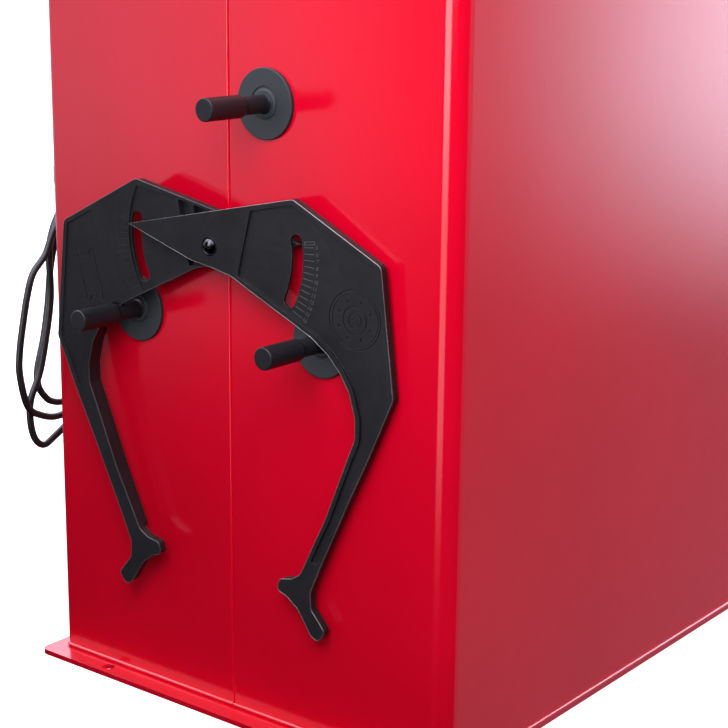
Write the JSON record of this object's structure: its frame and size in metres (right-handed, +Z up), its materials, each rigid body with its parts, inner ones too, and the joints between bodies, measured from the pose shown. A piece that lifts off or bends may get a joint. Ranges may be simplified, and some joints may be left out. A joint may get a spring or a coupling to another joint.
{
  "type": "wheel balancer",
  "caption": "Floor-standing wheel balancer: red sheet-metal cabinet, belt-driven clamping spindle, hinged guard, weight tray, console, and a caliper hung on side pegs.",
  "frame": {"origin": "on the floor, below the middle of the cabinet", "axes": "+X to the right along the spindle, towards its free end; +Y towards the back of the cabinet; +Z up"},
  "size_m": [1.1016, 0.7447, 1.1254],
  "materials": {
    "red_paint": "satin",
    "black_moulding": "satin",
    "peg_plastic": "satin",
    "black_metal": "satin",
    "zinc_plate": "satin",
    "ground_steel": "satin",
    "motor_grey": "painted",
    "black_rubber": "matt",
    "smoked_lens": "gloss",
    "keypad_foil": "satin",
    "green_key": "gloss",
    "red_key": "gloss",
    "circuit_board": "satin",
    "brass_parts": "satin",
    "sensor_plastic": "satin"
  },
  "bodies": {
    "cabinet": {"base_plate": "red_paint", "base_frame": "red_paint", "front_shell": "red_paint", "rear_shell": "red_paint", "seam_strips": "red_paint", "top_deck": "red_paint", "shell_screws": "zinc_plate", "machine_shelf": "zinc_plate", "weight_tray": "black_moulding", "console_housing": "black_moulding", "console_back": "black_moulding", "display_lens": "smoked_lens", "keypad": "keypad_foil", "display_board": "circuit_board", "power_board": "circuit_board", "board_pillars": "brass_parts", "spindle_bracket": "zinc_plate", "spindle_housing": "ground_steel", "spindle_bearings": "ground_steel", "encoder_sensor": "sensor_plastic", "piezo_sensors": "brass_parts", "drive_motor": "motor_grey", "motor_bracket": "zinc_plate", "drive_belt": "black_rubber", "gauge_bushes": "black_moulding", "gauge_bracket": "zinc_plate", "guard_bracket": "red_paint", "guard_bushes": "brass_parts", "guard_switch": "sensor_plastic", "switch_bezel": "black_moulding", "cable_gland": "black_moulding", "power_cable": "black_rubber", "power_plug": "black_rubber", "cable_hook": "black_metal", "peg_top": "peg_plastic", "peg_rear": "peg_plastic", "peg_front": "peg_plastic"},
    "spindle": {"spindle_shaft": "ground_steel", "wheel_flange": "ground_steel", "spindle_pulley": "zinc_plate", "encoder_disc": "sensor_plastic"},
    "motor_rotor": {"motor_shaft": "ground_steel", "motor_pulley": "zinc_plate"},
    "cone": {"centring_cone": "ground_steel"},
    "cup": {"pressure_cup": "black_moulding", "cup_ring": "black_rubber"},
    "nut": {"quick_nut": "ground_steel", "nut_levers": "black_moulding"},
    "gauge": {"gauge_rod": "ground_steel"},
    "gauge_tip": {"gauge_pointer": "black_metal", "gauge_knob": "black_moulding"},
    "guard": {"guard_arm": "black_metal", "guard_clamps": "zinc_plate", "guard_hood": "red_paint"},
    "rocker": {"power_rocker": "red_key"},
    "start": {"start_button": "green_key"},
    "stop": {"stop_button": "red_key"},
    "caliper": {"caliper_rear_arm": "peg_plastic", "caliper_pivot": "ground_steel"},
    "caliper_front": {"caliper_front_arm": "peg_plastic"}
  },
  "joints": [
    {"name": "spindle_turn", "type": "hinge", "parent": "cabinet", "child": "spindle", "pos_m": [0.3, 0, 0.69], "axis": [1, 0, 0], "continuous": true},
    {"name": "motor_turn", "type": "hinge", "parent": "cabinet", "child": "motor_rotor", "pos_m": [0, 0, 0.46], "axis": [1, 0, 0], "continuous": true},
    {"name": "cone_slide", "type": "slide", "parent": "spindle", "child": "cone", "axis": [1, 0, 0], "range_m": [0, 0.024]},
    {"name": "cup_slide", "type": "slide", "parent": "spindle", "child": "cup", "axis": [1, 0, 0], "range_m": [0, 0.165]},
    {"name": "nut_turn", "type": "hinge", "parent": "cup", "child": "nut", "pos_m": [0.5, 0, 0.69], "axis": [1, 0, 0], "continuous": true},
    {"name": "gauge_slide", "type": "slide", "parent": "cabinet", "child": "gauge", "axis": [1, 0, 0], "range_m": [0, 0.18]},
    {"name": "gauge_swing", "type": "hinge", "parent": "gauge", "child": "gauge_tip", "pos_m": [0.311, -0.12, 0.7], "axis": [1, 0, 0], "range_deg": [0, 100]},
    {"name": "guard_hinge", "type": "hinge", "parent": "cabinet", "child": "guard", "pos_m": [0.2, 0.3, 0.7], "axis": [-1, 0, 0], "range_deg": [0, 70]},
    {"name": "rocker_tilt", "type": "hinge", "parent": "cabinet", "child": "rocker", "pos_m": [-0.18, 0.2255, 0.56], "axis": [0, 0, -1], "range_deg": [0, 16]},
    {"name": "start_press", "type": "slide", "parent": "cabinet", "child": "start", "axis": [0, 0.9155, -0.4023], "range_m": [0, 0.003]},
    {"name": "stop_press", "type": "slide", "parent": "cabinet", "child": "stop", "axis": [0, 0.9155, -0.4023], "range_m": [0, 0.003]},
    {"name": "caliper_lift", "type": "slide", "parent": "cabinet", "child": "caliper", "axis": [-1, 0, 0], "range_m": [0, 0.12]},
    {"name": "caliper_open", "type": "hinge", "parent": "caliper", "child": "caliper_front", "pos_m": [-0.3102, 0.0024, 0.4393], "axis": [-0.996, -0.0866, -0.0201], "range_deg": [0, 12]}
  ],
  "couplings": [
    {"joint": "motor_turn", "follows": "spindle_turn", "ratio": 4}
  ]
}
